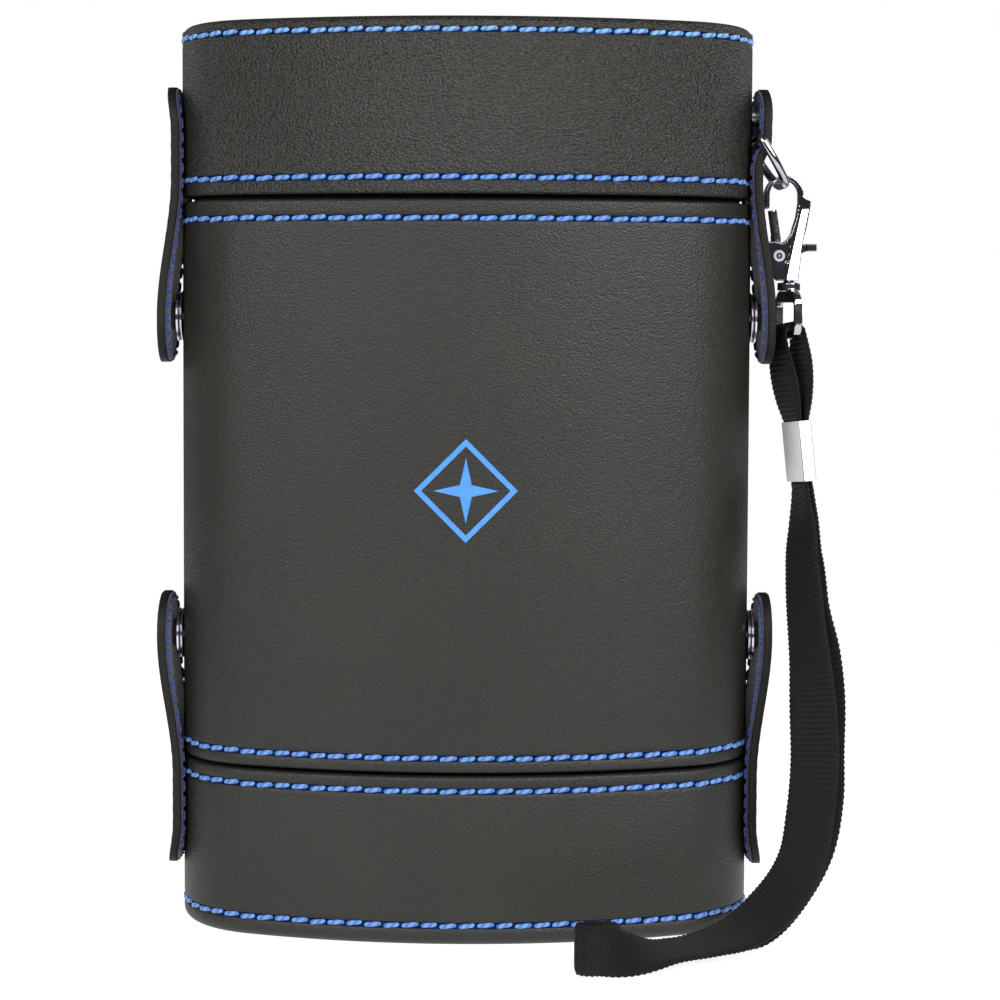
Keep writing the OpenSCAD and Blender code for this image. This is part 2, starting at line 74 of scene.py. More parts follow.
# The oval section: two side arcs and two long arcs
SIDE_R = 22 * MM
SIDE_C = SIDE_X - SIDE_R
LONG_R = (SIDE_C**2 + HALF_DEPTH**2 - SIDE_R**2) / (2 * (HALF_DEPTH - SIDE_R))
LONG_C = LONG_R - HALF_DEPTH
JOIN = math.atan2(LONG_C, SIDE_C)

# The heights of the straps' folds
FOLD_LOW = 31.4 * MM
FOLD_HIGH = CASE_H - FOLD_LOW

# The ring: its bar behind the strap, its lean, and its lower wire, on which the clasp hangs
BAR_X = 60.9 * MM
BAR_Z = FOLD_HIGH + 8.4 * MM
RING_LEAN = math.radians(31.7)
RING_HALF = 11.05 * MM
RING_SIDE = 3.9 * MM
RING_CORNER = 7 * MM
RING_BEND = 1.2 * MM
WIRE_R = 0.9 * MM
RING_DROP = RING_SIDE + RING_CORNER
WIRE = Vector((BAR_X + RING_DROP * math.sin(RING_LEAN), 0,
               BAR_Z - RING_DROP * math.cos(RING_LEAN)))
GATE_PIVOT = WIRE + Vector((-0.6 * MM, 0, -14.95 * MM))

# The clasp's beam between slanting lines: ((x, z) from the wire in mm, x gained per z)
BEAM_LEFT = ((0.87, -19.83), 0.212)
BEAM_RIGHT_HIGH = ((5.87, -4.03), 0.191)
BEAM_RIGHT_LOW = ((3.4, -20.23), 0.1125)
BEAM_TOP = WIRE.z - 5.2 * MM
BEAM_LEAN = (0.27, 0, 0.26)


# ---------------------------------------------------------------- materials

def srgb(red, green, blue):
    """A linear colour from 0-255 display values."""
    def linear(value):
        value /= 255
        return value / 12.92 if value <= 0.04045 else ((value + 0.055) / 1.055) ** 2.4
    return (linear(red), linear(green), linear(blue), 1)


class Shader:
    """A small helper that builds one node material."""

    def __init__(self, name):
        self.material = bpy.data.materials.new(name)
        self.material.use_nodes = True
        self.tree = self.material.node_tree
        self.bsdf = self.tree.nodes["Principled BSDF"]
        self.coordinates = self.node("ShaderNodeTexCoord")

    def node(self, kind, **settings):
        made = self.tree.nodes.new(kind)
        for key, value in settings.items():
            setattr(made, key, value)
        return made

    def link(self, source, target):
        self.tree.links.new(source, target)

    def noise(self, scale, detail=3, roughness=0.55):
        made = self.node("ShaderNodeTexNoise")
        made.inputs["Scale"].default_value = scale
        made.inputs["Detail"].default_value = detail
        made.inputs["Roughness"].default_value = roughness
        self.link(self.coordinates.outputs["Object"], made.inputs["Vector"])
        return made.outputs["Fac"]

    def cells(self, scale):
        made = self.node("ShaderNodeTexVoronoi")
        made.inputs["Scale"].default_value = scale
        self.link(self.coordinates.outputs["Object"], made.inputs["Vector"])
        return made.outputs["Distance"]

    def ramp(self, factor, *stops):
        made = self.node("ShaderNodeValToRGB")
        elements = made.color_ramp.elements
        while len(elements) < len(stops):
            elements.new(0.5)
        for element, (place, colour) in zip(elements, stops):
            element.position = place
            element.color = colour if len(colour) == 4 else (*colour, 1)
        self.link(factor, made.inputs["Fac"])
        return made.outputs["Color"]

    def spread(self, factor, low, high, low_in=0.0, high_in=1.0):
        """Maps a value range to another."""
        made = self.node("ShaderNodeMapRange")
        made.inputs["From Min"].default_value = low_in
        made.inputs["From Max"].default_value = high_in
        made.inputs["To Min"].default_value = low
        made.inputs["To Max"].default_value = high
        self.link(factor, made.inputs["Value"])
        return made.outputs["Result"]

    def mix(self, factor, first, second, blend="MIX"):
        made = self.node("ShaderNodeMix", data_type="RGBA", blend_type=blend)
        for value, key in ((factor, 0), (first, 6), (second, 7)):
            if hasattr(value, "links"):
                self.link(value, made.inputs[key])
            else:
                made.inputs[key].default_value = value
        return made.outputs[2]

    def maths(self, kind, first, second):
        made = self.node("ShaderNodeMath", operation=kind)
        for index, value in enumerate((first, second)):
            if hasattr(value, "links"):
                self.link(value, made.inputs[index])
            else:
                made.inputs[index].default_value = value
        return made.outputs[0]

    def bump(self, height, distance, strength=1.0, below=None):
        made = self.node("ShaderNodeBump")
        made.inputs["Distance"].default_value = distance
        made.inputs["Strength"].default_value = strength
        self.link(height, made.inputs["Height"])
        if below is not None:
            self.link(below, made.inputs["Normal"])
        return made.outputs["Normal"]

    def finish(self, colour=None, roughness=None, normal=None, **values):
        for key, value in (("Base Color", colour), ("Roughness", roughness),
                           ("Normal", normal)):
            if value is None:
                continue
            if hasattr(value, "links"):
                self.link(value, self.bsdf.inputs[key])
            else:
                self.bsdf.inputs[key].default_value = value
        for key, value in values.items():
            self.bsdf.inputs[key.replace("_", " ")].default_value = value
        return self.material


def leather_material(name, dark, light, grain=2300, depth=0.00013, gloss=0.46,
                     shine=0.32, pebble_shading=(1.12, 0.72)):
    """Fine pebbled leather: small rounded cells, creases and slow changes of tone. gloss is
    the roughness, shine the strength of its gloss, and pebble_shading the cells' painted
    light and shade, lighter on their tops and darker in the creases between them."""
    s = Shader(name)
    pebble = s.cells(grain)
    crease = s.cells(grain * 0.45)
    fine = s.noise(grain * 2.2, 2)
    slow = s.noise(28, 4)
    tone = s.ramp(slow, (0.3, dark), (0.7, light))
    # Painted light and shade on the grain: each pebble lighter on its top, darker towards the
    # creases between pebbles.
    shade = s.spread(pebble, *pebble_shading, 0.0, 0.75)
    colour = s.mix(1.0, tone, shade, "MULTIPLY")
    height = s.maths("ADD", s.maths("MULTIPLY", pebble, -1.0),
                     s.maths("ADD", s.maths("MULTIPLY", fine, 0.35),
                             s.maths("MULTIPLY", crease, -0.2)))
    rough = s.spread(s.noise(420, 3), gloss - 0.06, gloss + 0.1)
    return s.finish(colour, rough, s.bump(height, depth, 0.8),
                    Specular_IOR_Level=shine)


def edge_material(name, dark, light):
    """Painted leather edge: smooth with fine fibres showing along it."""
    s = Shader(name)
    colour = s.ramp(s.noise(900, 4), (0.3, dark), (0.75, light))
    return s.finish(colour, s.spread(s.noise(500), 0.4, 0.6),
                    s.bump(s.noise(1800, 3), 0.00004, 0.6))


def lining_material(name, dark, light):
    """Suede-like backing with a short nap."""
    s = Shader(name)
    colour = s.ramp(s.noise(750, 5, 0.7), (0.28, dark), (0.72, light))
    return s.finish(colour, 0.85, s.bump(s.noise(2600, 4), 0.00008, 0.7),
                    Sheen_Weight=0.35, Sheen_Roughness=0.5)


def flock_material(name, dark, light):
    s = Shader(name)
    colour = s.ramp(s.noise(1400, 4), (0.3, dark), (0.7, light))
    return s.finish(colour, 0.95, s.bump(s.noise(3400, 3), 0.0001, 0.8),
                    Specular_IOR_Level=0.1, Sheen_Weight=0.1, Sheen_Roughness=0.6)


def foam_material(name, dark, light):
    """Open-cell foam: pits of different sizes."""
    s = Shader(name)
    pits = s.cells(1100)
    # The colour follows the pits: painted shade darkens their middles.
    colour = s.ramp(pits, (0.1, dark), (0.6, light))
    return s.finish(colour, 0.9, s.bump(pits, 0.0003, 0.9))


def board_material(name, dark, light):
    s = Shader(name)
    colour = s.ramp(s.noise(260, 6, 0.7), (0.3, dark), (0.7, light))
    return s.finish(colour, 0.85, s.bump(s.noise(1500, 4), 0.00006, 0.6))


def metal_material(name, colour, roughness=0.09, wear=0.10, metallic=1.0, facet=None):
    """Polished plated metal with faint ripples, rub marks and fine scratches.
    facet(shader) gives the normal of a piece whose faces are ground at a slant."""
    s = Shader(name)
    rub = s.noise(260, 5, 0.65)
    scratch = s.noise(2400, 2)
    rough = s.maths("ADD", s.spread(rub, roughness, roughness + wear, 0.35, 0.75),
                    s.spread(scratch, 0.0, 0.05, 0.5, 0.9))
    tint = s.ramp(rub, (0.25, [c * 0.9 for c in colour[:3]]), (0.7, colour))
    return s.finish(tint, rough, s.bump(s.noise(140, 2), 0.00025, 0.35,
                                        facet(s) if facet else None),
                    Metallic=metallic)


def past_line(s, x, z, line):
    """How far a place on the clasp is to the right of a slanting line."""
    (line_x, line_z), slope = line
    start = WIRE.x + line_x * MM - slope * (WIRE.z + line_z * MM)
    return s.maths("SUBTRACT", s.maths("SUBTRACT", x, s.maths("MULTIPLY", z, slope)), start)


def beam_facet(s):
    """The clasp's beam is ground at a slant: its face leans out and up from the cheek."""
    place = s.node("ShaderNodeSeparateXYZ")
    s.link(s.coordinates.outputs["Object"], place.inputs[0])
    x, z = place.outputs["X"], place.outputs["Z"]
    beside = s.spread(past_line(s, x, z, BEAM_LEFT), 0, 1, 0.02 * MM, 0.22 * MM)
    past_right = s.maths("MINIMUM", past_line(s, x, z, BEAM_RIGHT_HIGH),
                         past_line(s, x, z, BEAM_RIGHT_LOW))
    inside = s.spread(past_right, 1, 0, -0.3 * MM, -0.14 * MM)
    below = s.spread(z, 1, 0, BEAM_TOP - 0.35 * MM, BEAM_TOP + 0.35 * MM)
    lean = s.node("ShaderNodeVectorTransform", vector_type="VECTOR",
                  convert_from="OBJECT", convert_to="WORLD")
    lean.inputs[0].default_value = BEAM_LEAN
    surface = s.node("ShaderNodeNewGeometry")
    amount = s.node("ShaderNodeVectorMath", operation="SCALE")
    s.link(lean.outputs[0], amount.inputs[0])
    s.link(s.maths("MULTIPLY", inside, s.maths("MULTIPLY", beside, below)),
           amount.inputs["Scale"])
    total = s.node("ShaderNodeVectorMath", operation="ADD")
    s.link(surface.outputs["Normal"], total.inputs[0])
    s.link(amount.outputs[0], total.inputs[1])
    normal = s.node("ShaderNodeVectorMath", operation="NORMALIZE")
    s.link(total.outputs[0], normal.inputs[0])
    return normal.outputs[0]


def painted_rivet_material(name, middle, radius):
    """A rolled rivet end with its axis along Y, with light and shade painted on: a painted
    highlight on the rim round painted shade in the hollow, and a painted highlight at the
    centre."""
    s = Shader(name)
    place = s.node("ShaderNodeVectorMath", operation="MULTIPLY")
    place.inputs[1].default_value = (1, 0, 1)
    s.link(s.coordinates.outputs["Object"], place.inputs[0])
    away = s.node("ShaderNodeVectorMath", operation="DISTANCE")
    s.link(place.outputs[0], away.inputs[0])
    away.inputs[1].default_value = middle
    # dark is the painted shade in the hollow, the other colour the painted highlights on the
    # rim and at the centre.
    dark, painted_highlight = (0.03, 0.03, 0.05), (0.6, 0.58, 0.66)
    share = s.spread(away.outputs["Value"], 0, 1, 0, radius)
    colour = s.ramp(share, (0.1, painted_highlight), (0.2, dark), (0.46, dark), (0.56, painted_highlight))
    return s.finish(colour, s.spread(s.noise(900), 0.25, 0.45),
                    s.bump(s.noise(1500), 0.00003, 0.4), Metallic=0.3)


def shadow_band_material(name, dark, light):
    """Dark navy painted shadow round and between the stitches, on the leather they sink into.
    """
    s = Shader(name)
    colour = s.ramp(s.noise(1300, 3), (0.3, dark), (0.7, light))
    return s.finish(colour, 0.9, s.bump(s.noise(2600, 3), 0.00008, 0.7),
                    Specular_IOR_Level=0.04)


def thread_material(name, dark, light):
    """Twisted sewing thread: a slanting wave along its length from the piece's own UV."""
    s = Shader(name)
    wave = s.node("ShaderNodeTexWave", wave_type="BANDS", bands_direction="DIAGONAL")
    wave.inputs["Scale"].default_value = 0.32
    wave.inputs["Distortion"].default_value = 0.6
    s.link(s.coordinates.outputs["UV"], wave.inputs["Vector"])
    fibre = s.noise(3500, 3)
    # The wave's light bands are painted highlights on the twisted strands, its dark bands
    # painted shade between them; the wave also drives the bump.
    colour = s.ramp(wave.outputs["Fac"], (0.15, dark), (0.65, light))
    colour = s.mix(s.spread(fibre, 0.0, 0.35), colour, (*[c * 1.35 for c in light[:3]], 1))
    return s.finish(colour, 0.55, s.bump(wave.outputs["Fac"], 0.00012, 0.9),
                    Sheen_Weight=0.3)


def webbing_material(name, dark, light):
    """Black ribbed webbing: fine warp threads over the modelled ribs."""
    s = Shader(name)
    warp = s.node("ShaderNodeTexWave", wave_type="BANDS", bands_direction="X")
    warp.inputs["Scale"].default_value = 5.2
    warp.inputs["Distortion"].default_value = 0.8
    warp.inputs["Detail"].default_value = 2
    s.link(s.coordinates.outputs["UV"], warp.inputs["Vector"])
    fuzz = s.noise(2600, 4)
    height = s.maths("ADD", warp.outputs["Fac"], s.maths("MULTIPLY", fuzz, 0.8))
    # The colour follows the bump's height: painted light on the warp threads' crests, painted
    # shade between them.
    colour = s.ramp(height, (0.3, dark), (0.95, light))
    return s.finish(colour, s.spread(fuzz, 0.5, 0.75), s.bump(height, 0.00012, 0.8),
                    Specular_IOR_Level=0.18, Sheen_Weight=0.04, Sheen_Roughness=0.4)


def ink_material(name, colour):
    s = Shader(name)
    thin = s.noise(700, 4)
    tint = s.ramp(thin, (0.3, [c * 0.82 for c in colour[:3]]), (0.6, colour))
    return s.finish(tint, s.spread(thin, 0.42, 0.6), s.bump(s.cells(1500), 0.00003, 0.6))


def floor_material(name):
    """White studio paper, lit evenly from below as on a light table."""
    s = Shader(name)
    colour = s.ramp(s.noise(3, 2), (0.3, (0.3, 0.3, 0.3)), (0.7, (0.33, 0.33, 0.33)))
    return s.finish(colour, 0.8, s.bump(s.noise(90, 3), 0.0002, 0.15),
                    Specular_IOR_Level=0.1, Emission_Color=(1, 1, 1, 1),
                    Emission_Strength=0.9)


CASE_LEATHER = leather_material("case_leather", srgb(24, 25, 19), srgb(31, 32, 26),
                                shine=0.42)
# A lighter copy of the case leather for the top cap, with stronger pebble shading: painted
# light, as the top is lit more than the rest.
TOP_CAP_LIT_LEATHER = leather_material("top_cap_painted_light_leather", srgb(29, 30, 24), srgb(38, 39, 32),
                               grain=2000, depth=0.00035, gloss=0.42, shine=0.42,
                               pebble_shading=(1.7, 0.2))
END_LEATHER = leather_material("end_leather", srgb(24, 25, 19), srgb(31, 32, 26),
                               gloss=0.62, shine=0.12)
STRAP_LEATHER = leather_material("strap_leather", srgb(20, 20, 18), srgb(28, 27, 24),
                                 gloss=0.54, shine=0.2)
STRAP_LINING = lining_material("strap_lining", srgb(22, 19, 38), srgb(52, 46, 74))
TURNED_EDGE = edge_material("turned_edge", srgb(13, 13, 12), srgb(24, 24, 21))
# Black flock, made darker still as painted shade for the seam gap between the body and the
# top cap, where it shows.
FLOCK_AND_GAP_SHADE = flock_material("flock", srgb(5, 5, 6), srgb(16, 16, 17))
FOAM = foam_material("foam", srgb(16, 16, 17), srgb(44, 44, 46))
BOARD = board_material("board", srgb(120, 98, 70), srgb(160, 136, 104))
CHROME = metal_material("chrome", (0.5, 0.49, 0.54), 0.06)
# A darker copy of the chrome for the hook, so its flat cheeks read dark: painted dark
# reflection on the plating.
CLASP_SHADED_CHROME = metal_material("clasp_chrome_painted_shade", (0.34, 0.33, 0.38), 0.06, facet=beam_facet)
# Lit and shaded copies of the ferrule's tin: a near-white one for its broad faces, painted
# highlight, and a near-black one for its rounded corners, painted shade.
FERRULE_PAINTED_LIGHT = metal_material("tin_painted_highlight", (0.95, 0.94, 0.98), 0.34, metallic=0.08)
FERRULE_PAINTED_SHADE = metal_material("tin_painted_corner_shade", (0.08, 0.08, 0.1), 0.35)
RIVET_PAINTED_LIGHT = painted_rivet_material("rivet_painted_light", GATE_PIVOT, 1.3 * MM)
SNAP_METAL = metal_material("snap_metal", (0.72, 0.72, 0.78), 0.14)
THREAD = thread_material("blue_thread", srgb(36, 76, 146), srgb(84, 134, 204))
# A darker copy of the thread for the straps' stitches: painted shade.
THREAD_PAINTED_SHADE = thread_material("blue_thread_painted_shade", srgb(12, 28, 80), srgb(32, 66, 140))
# A lighter copy of the thread for the top cap's upper row: painted light, as the top is lit
# more.
THREAD_PAINTED_LIGHT = thread_material("blue_thread_painted_light", srgb(44, 90, 158), srgb(104, 158, 216))
# Painted shadow round and between the stitches.
STITCH_PAINTED_SHADOW = shadow_band_material("stitch_painted_shadow", srgb(3, 12, 32), srgb(10, 34, 72))
WEBBING = webbing_material("webbing", srgb(1, 1, 1), srgb(18, 18, 19))
INK = ink_material("blue_ink", srgb(66, 133, 214))
FLOOR = floor_material("floor")


# ---------------------------------------------------------------- mesh helpers

def mesh_object(name, points, faces, material, uvs=None, smooth=35):
    """A mesh object from points and faces, with normals outwards and soft shading."""
    mesh = bpy.data.meshes.new(name)
    mesh.from_pydata([tuple(p) for p in points], [], faces)
    if uvs:
        layer = mesh.uv_layers.new(name="UVMap")
        for loop in mesh.loops:
            layer.data[loop.index].uv = uvs[loop.vertex_index]
    work = bmesh.new()
    work.from_mesh(mesh)
    bmesh.ops.recalc_face_normals(work, faces=work.faces)
    work.to_mesh(mesh)
    work.free()
    mesh.polygons.foreach_set("use_smooth", [True] * len(mesh.polygons))
    if smooth is not None:
        mesh.set_sharp_from_angle(angle=math.radians(smooth))
    made = bpy.data.objects.new(name, mesh)
    made.data.materials.append(material)
    COLLECTION.objects.link(made)
    return made


def lofted(rings, along=False):
    """Points and faces between rings of equal count. along joins the last ring to the
    first; without it the first and last ring are filled."""
    count = len(rings[0])
    points = [p for ring in rings for p in ring]
    faces = []
    for i in range(len(rings) if along else len(rings) - 1):
        a, b = i * count, (i + 1) % len(rings) * count
        for j in range(count):
            k = (j + 1) % count
            faces.append((a + j, a + k, b + k, b + j))
    if not along:
        faces.append(tuple(reversed(range(count))))
        faces.append(tuple((len(rings) - 1) * count + j for j in range(count)))
    return points, faces


class Heap:
    """Collects several bits of mesh into one object."""

    def __init__(self):
        self.points, self.faces, self.uvs = [], [], []

    def add(self, points, faces, uvs=None):
        start = len(self.points)
        self.points += points
        self.faces += [tuple(start + i for i in face) for face in faces]
        self.uvs += uvs if uvs else [(0, 0)] * len(points)

    def make(self, name, material, smooth=35):
        return mesh_object(name, self.points, self.faces, material, self.uvs, smooth)


def settle(piece, body, slot=None, *nodes):
    """Rides a finished piece on its body and hides the CAD nodes it replaces. slot is not
    used.
    """
    if body:
        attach(piece, body)
    if nodes:
        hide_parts(*nodes)
    return piece


def oval(inset):
    """The case's section at an inset, as points once round."""
    side_steps, long_steps = 28, 34

    def arc(cx, cy, radius, start, end, steps):
        return [(cx + radius * math.cos(start + (end - start) * i / steps),
                 cy + radius * math.sin(start + (end - start) * i / steps))
                for i in range(steps)]
    small, large, half = SIDE_R - inset, LONG_R - inset, math.pi
    return (arc(SIDE_C, 0, small, -JOIN, JOIN, side_steps)
            + arc(0, -LONG_C, large, JOIN, half - JOIN, long_steps)
            + arc(-SIDE_C, 0, small, half - JOIN, half + JOIN, side_steps)
            + arc(0, LONG_C, large, half + JOIN, 2 * half - JOIN, long_steps))


def oval_ring(inset, z):
    return [Vector((x, y, z)) for x, y in oval(inset)]


def oval_frame(distance):
    """(point, outward normal, tangent) on the outer surface at a distance round it."""
    side, large = SIDE_R * 2 * JOIN, LONG_R * (math.pi - 2 * JOIN)
    distance %= 2 * (side + large)
    turn = 0
    if distance >= side + large:
        distance -= side + large
        turn = math.pi
    if distance < side:
        angle = -JOIN + distance / SIDE_R
        centre, radius = Vector((SIDE_C, 0, 0)), SIDE_R
    else:
        angle = JOIN + (distance - side) / LONG_R
        centre, radius = Vector((0, -LONG_C, 0)), LONG_R
    spin = Matrix.Rotation(turn, 3, "Z")
    normal = Vector((math.cos(angle), math.sin(angle), 0))
    tangent = Vector((-normal.y, normal.x, 0))
    return spin @ (centre + radius * normal), spin @ normal, spin @ tangent


OVAL_LENGTH = 2 * (SIDE_R * 2 * JOIN + LONG_R * (math.pi - 2 * JOIN))


def oval_shell(name, profile, body, material, slot, *nodes):
    """A closed shell round the case from a profile of (inset, z) points."""
    points, faces = lofted([oval_ring(inset, z) for inset, z in profile], along=True)
    piece = mesh_object(name, points, faces, material, smooth=50)
    return settle(piece, body, slot, *nodes)


def round_corner(cx, cz, radius, start, end, steps=5):
    """Profile points on a rounded edge; angles in degrees, 0 towards a larger inset."""
    return [(cx + radius * math.cos(math.radians(start + (end - start) * i / steps)),
             cz + radius * math.sin(math.radians(start + (end - start) * i / steps)))
            for i in range(steps + 1)]


def lathe(profile, matrix):
    """Points and faces of a turned part: (height, radius) pairs about the matrix's Z axis."""
    segments = 40
    rings = [[matrix @ Vector((r * math.cos(a), r * math.sin(a), h))
              for a in (2 * math.pi * i / segments for i in range(segments))]
             for h, r in profile]
    return lofted(rings)


def swept(path, outline, up):
    """Sweeps an outline of (side, up) points along a closed path, with up kept."""
    rings = []
    for i, place in enumerate(path):
        ahead = (path[(i + 1) % len(path)] - path[i - 1]).normalized()
        side = ahead.cross(up).normalized()
        top = side.cross(ahead)
        rings.append([place + side * a + top * b for a, b in outline])
    return lofted(rings, along=True)


def circle_outline(radius):
    steps = 16
    return [(radius * math.cos(2 * math.pi * i / steps),
             radius * math.sin(2 * math.pi * i / steps)) for i in range(steps)]


def ease(share):
    share = min(max(share, 0.0), 1.0)
    return share * share * (3 - 2 * share)


# ---------------------------------------------------------------- camera

CAMERA_Y = -534 * MM
CAMERA_Z = 130 * MM
LENS_PER_SENSOR = 2.513
PITCH = math.radians(3.3)
ROLL = math.radians(0.22)

camera_data = bpy.data.cameras.new("camera")
camera_data.sensor_width = 36
camera_data.lens = 36 * LENS_PER_SENSOR
camera_data.shift_x = 0.034
camera_data.shift_y = -0.048
camera = bpy.data.objects.new("camera", camera_data)
camera.matrix_world = (Matrix.Translation((0, CAMERA_Y, CAMERA_Z))
                       @ Matrix.Rotation(math.pi / 2 - PITCH, 4, "X")
                       @ Matrix.Rotation(ROLL, 4, "Z"))
COLLECTION.objects.link(camera)
bpy.context.scene.camera = camera


# ---------------------------------------------------------------- wrist loop

# Each row is a point of the webbing's middle line and the direction of its width, in mm
WRIST_ROUTE = [
    (70.7, -1.7, 94.3, -1, 4.8, -0.35),
    (71, -1.85, 91.3, -1, 4.4, -0.3),
    (70.8, -4.5, 85, -1, 2.8, 0),
    (70.3, -10.5, 77, -1, 1.8, 0),
    (70.3, -17, 67, -1, 1.25, 0),
    (70.9, -20.5, 57, -1, 0.85, 0),
    (71.4, -22.5, 47, -1, 0.4, 0),
    (71.6, -24, 37, -1, 0.2, 0),
    (70.5, -26.5, 27, -1, 0.1, 0.15),
    (68.5, -29, 18, -1, 0.1, 0.4),
    (63.8, -32, 11, -0.7, 0.4, 0.7),
    (56, -36, 5.3, -0.5, 0.8, 0.5),
    (48, -40.5, 3.6, -0.4, 0.9, 0.25),
    (39.5, -45.2, 3.4, -0.4, 0.9, 0.25),
    (32.5, -49.5, 4.2, -0.2, 0.6, 0.7),
    (27.5, -52.5, 5.3, 0, 0.1, 1),
    (24.2, -53.6, 5.5, 0, 0, 1),
    (22.2, -52.6, 5.5, 0, 0, 1),
    (22.2, -50.6, 5.5, 0, 0, 1),
    (24.2, -49.2, 5.4, 0, 0, 1),
    (29, -47, 4.8, -0.1, 0.3, 1),
    (35.5, -43, 2.6, -0.4, 0.9, 0.2),
    (43, -38.5, 2.4, -0.45, 0.9, 0.15),
    (51, -34.3, 2.2, -0.5, 0.85, 0.1),
    (58.5, -31, 3.8, -0.6, 0.75, 0.25),
    (65.5, -27.5, 11, -0.7, 0.4, 0.6),
    (70.8, -24.5, 19.5, -1, 0.2, 0.45),
    (73, -22, 29, -1, 0.15, 0.2),
    (73.4, -19.8, 39, -1, 0.25, 0),
    (73.8, -18, 49, -1, 0.4, 0),
    (73.2, -16.2, 59, -1, 0.7, 0),
    (71.7, -14, 68.5, -1, 1.25, 0),
    (71.7, -8, 77, -1, 2, 0),
    (72, -3.6, 85, -1, 2.8, 0),
    (71.95, -1.65, 91.3, -1, 4.4, -0.3),
    (71.65, -1.5, 94.3, -1, 4.8, -0.35),
]
WEB_W = 10 * MM
RIB_PITCH = 1.12 * MM
RIB_STEPS = 4


def smooth_rows(rows, step):
    """A smooth curve through the rows, as (point, width direction) pairs a step apart."""
    fine = []
    last = len(rows) - 1
    for i in range(last):
        a, b, c, d = (Vector(rows[min(max(i + k, 0), last)]) for k in (-1, 0, 1, 2))
        for k in range(24):
            t = k / 24
            fine.append(0.5 * (2 * b + (c - a) * t + (2 * a - 5 * b + 4 * c - d) * t**2
                               + (3 * b - a - 3 * c + d) * t**3))
    fine.append(Vector(rows[-1]))
    lengths = [0.0]
    for a, b in zip(fine, fine[1:]):
        lengths.append(lengths[-1] + (Vector(b[:3]) - Vector(a[:3])).length)
    count = max(2, round(lengths[-1] / step))
    made, k = [], 0
    for i in range(count + 1):
        target = lengths[-1] * i / count
        while k < len(lengths) - 2 and lengths[k + 1] < target:
            k += 1
        share = (target - lengths[k]) / max(lengths[k + 1] - lengths[k], 1e-12)
        row = fine[k].lerp(fine[k + 1], min(share, 1))
        made.append((Vector(row[:3]), Vector(row[3:])))
    return made


def wide_vector(values):
    """The six numbers of a route row as one vector, in metres."""
    x, y, z, *width = values
    length = math.sqrt(sum(w * w for w in width))
    return (x * MM, y * MM, z * MM, *[w / length for w in width])


def ribbon(rows, width, thick, rib_depth):
    """Points, faces and UVs of ribbed webbing along (point, width direction) rows."""
    rings, uvs = [], []
    across = 10
    for i, (place, wide) in enumerate(rows):
        ahead = (rows[min(i + 1, len(rows) - 1)][0] - rows[max(i - 1, 0)][0]).normalized()
        wide = (wide - ahead * wide.dot(ahead)).normalized()
        flat = ahead.cross(wide)
        rib = 0.5 - 0.5 * math.cos(2 * math.pi * i / RIB_STEPS)
        half = width / 2 - rib_depth * 0.8 * (1 - rib)
        deep = thick / 2 - rib_depth * (1 - rib)
        section = []
        for side in (1, -1):
            for j in range(across + 1):
                share = j / across * 2 - 1
                edge = math.sqrt(max(0.0, 1 - abs(share)**6))
                section.append((side * share * half, side * deep * (0.35 + 0.65 * edge)))
        rings.append([place + wide * a + flat * b for a, b in section])
        uvs += [(a / width * 2 + 1, i / RIB_STEPS) for a, b in section]
    points, faces = lofted(rings)
    return points, faces, uvs


route = smooth_rows([wide_vector(row) for row in WRIST_ROUTE], RIB_PITCH / RIB_STEPS)
heap = Heap()
heap.add(*ribbon(route, WEB_W, 1.2 * MM, 0.24 * MM))
wrist_loop = heap.make("wrist_loop_webbing", WEBBING, smooth=None)
settle(wrist_loop, "eye", "webbing", "wrist_loop")


# ---------------------------------------------------------------- leather covers

RIM_R = 0.8 * MM
END_R = 2.3 * MM
ROW_GROOVE = 0.4 * MM
END_SEAM = 5 * MM
STITCH_ROWS = {
    "bottom_cap": (4.2 * MM, 31.8 * MM),
    "case_body": (38.5 * MM, 147.9 * MM),
    "top_cap": (156.05 * MM, 185.5 * MM),
}


def groove(z):
    """Profile points across a sewn channel."""
    steps = ((-1.5, 0), (-0.9, 0.12), (-0.45, 0.75), (0, 1), (0.45, 0.75), (0.9, 0.12),
             (1.5, 0))
    return [(ROW_GROOVE * deep, z + place * MM) for place, deep in steps]


body_profile = round_corner(RIM_R, BODY_LOW + RIM_R, RIM_R, 270, 180)
for row in STITCH_ROWS["case_body"]:
    body_profile += groove(row)
body_profile += round_corner(RIM_R, BODY_HIGH - RIM_R, RIM_R, 180, 90, 8)
body_profile += [(LEATHER, BODY_HIGH - 0.1 * MM), (LEATHER, BODY_LOW + 0.1 * MM)]
oval_shell("body_leather", body_profile, "case_body", CASE_LEATHER, "case_leather",
           "body_wrap")


def cap_cover(name, body, rim, end, rows, leather, *nodes):
    """A cap's wall with its rolled outer end. rim and end are heights."""
    up = 1 if end > rim else -1
    profile = round_corner(RIM_R, RIM_R, RIM_R, 270, 180)
    for z in sorted(abs(z - rim) for z in rows):
        profile += groove(z)
    tall = abs(end - rim)
    profile += round_corner(END_R, tall - END_R, END_R, 180, 90, 8)
    profile += [(END_SEAM - 0.5 * MM, tall), (END_SEAM - 0.1 * MM, tall - 0.3 * MM),
                (END_SEAM, tall - 0.9 * MM), (LEATHER + 0.4 * MM, tall - 1.1 * MM),
                (LEATHER, tall - 2 * MM), (LEATHER, 0.1 * MM)]
    return oval_shell(name, [(inset, rim + up * z) for inset, z in profile],
                      body, leather, "case_leather", *nodes)


